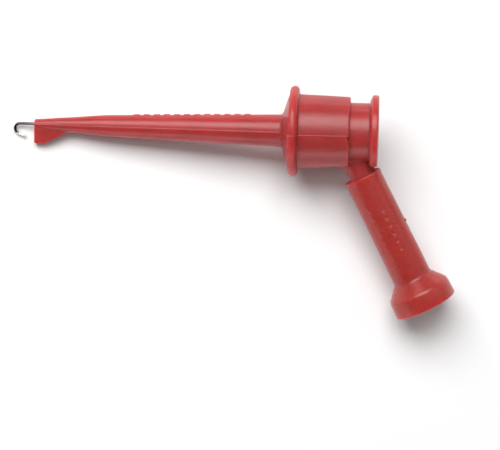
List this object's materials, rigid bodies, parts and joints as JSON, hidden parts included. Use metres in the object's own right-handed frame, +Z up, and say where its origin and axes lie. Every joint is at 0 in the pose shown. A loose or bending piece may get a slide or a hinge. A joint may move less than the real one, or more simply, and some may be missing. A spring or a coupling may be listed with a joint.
{
  "type": "mini hook test clip",
  "caption": "Plunger-operated mini hook test clip: long tapered nose with a sprung wire hook, finger flange, thumb cap and angled strain-relief boot.",
  "frame": {"origin": "middle of the bounding box's bottom face: the clip lies on a table, on its flange, the boot's bell and the fin under its tip", "axes": "+X from the hook to the thumb cap, seen from above; +Z up; +Y away from the side arm"},
  "size_m": [0.0698, 0.0358, 0.0146],
  "materials": {
    "red_nylon": "moulded, satin gloss",
    "red_vinyl": "soft moulded sleeve, satin",
    "spring_steel": "drawn wire",
    "brass": "turned"
  },
  "bodies": {
    "housing": {"nose_housing": "red_nylon", "return_spring": "spring_steel"},
    "plunger_group": {"plunger": "red_nylon", "thumb_cap": "red_nylon", "strain_relief_boot": "red_vinyl", "hook_wire": "spring_steel", "wire_anchor": "brass", "solder_cup": "brass", "spring_washer": "spring_steel"}
  },
  "joints": [
    {"name": "plunger_press", "type": "slide", "parent": "housing", "child": "plunger_group", "axis": [-0.9899, 0, -0.1418], "range_m": [0, 0.003], "stiffness_N_per_m": 230, "springref_m": -0.0025, "deforming": ["return_spring"]}
  ]
}
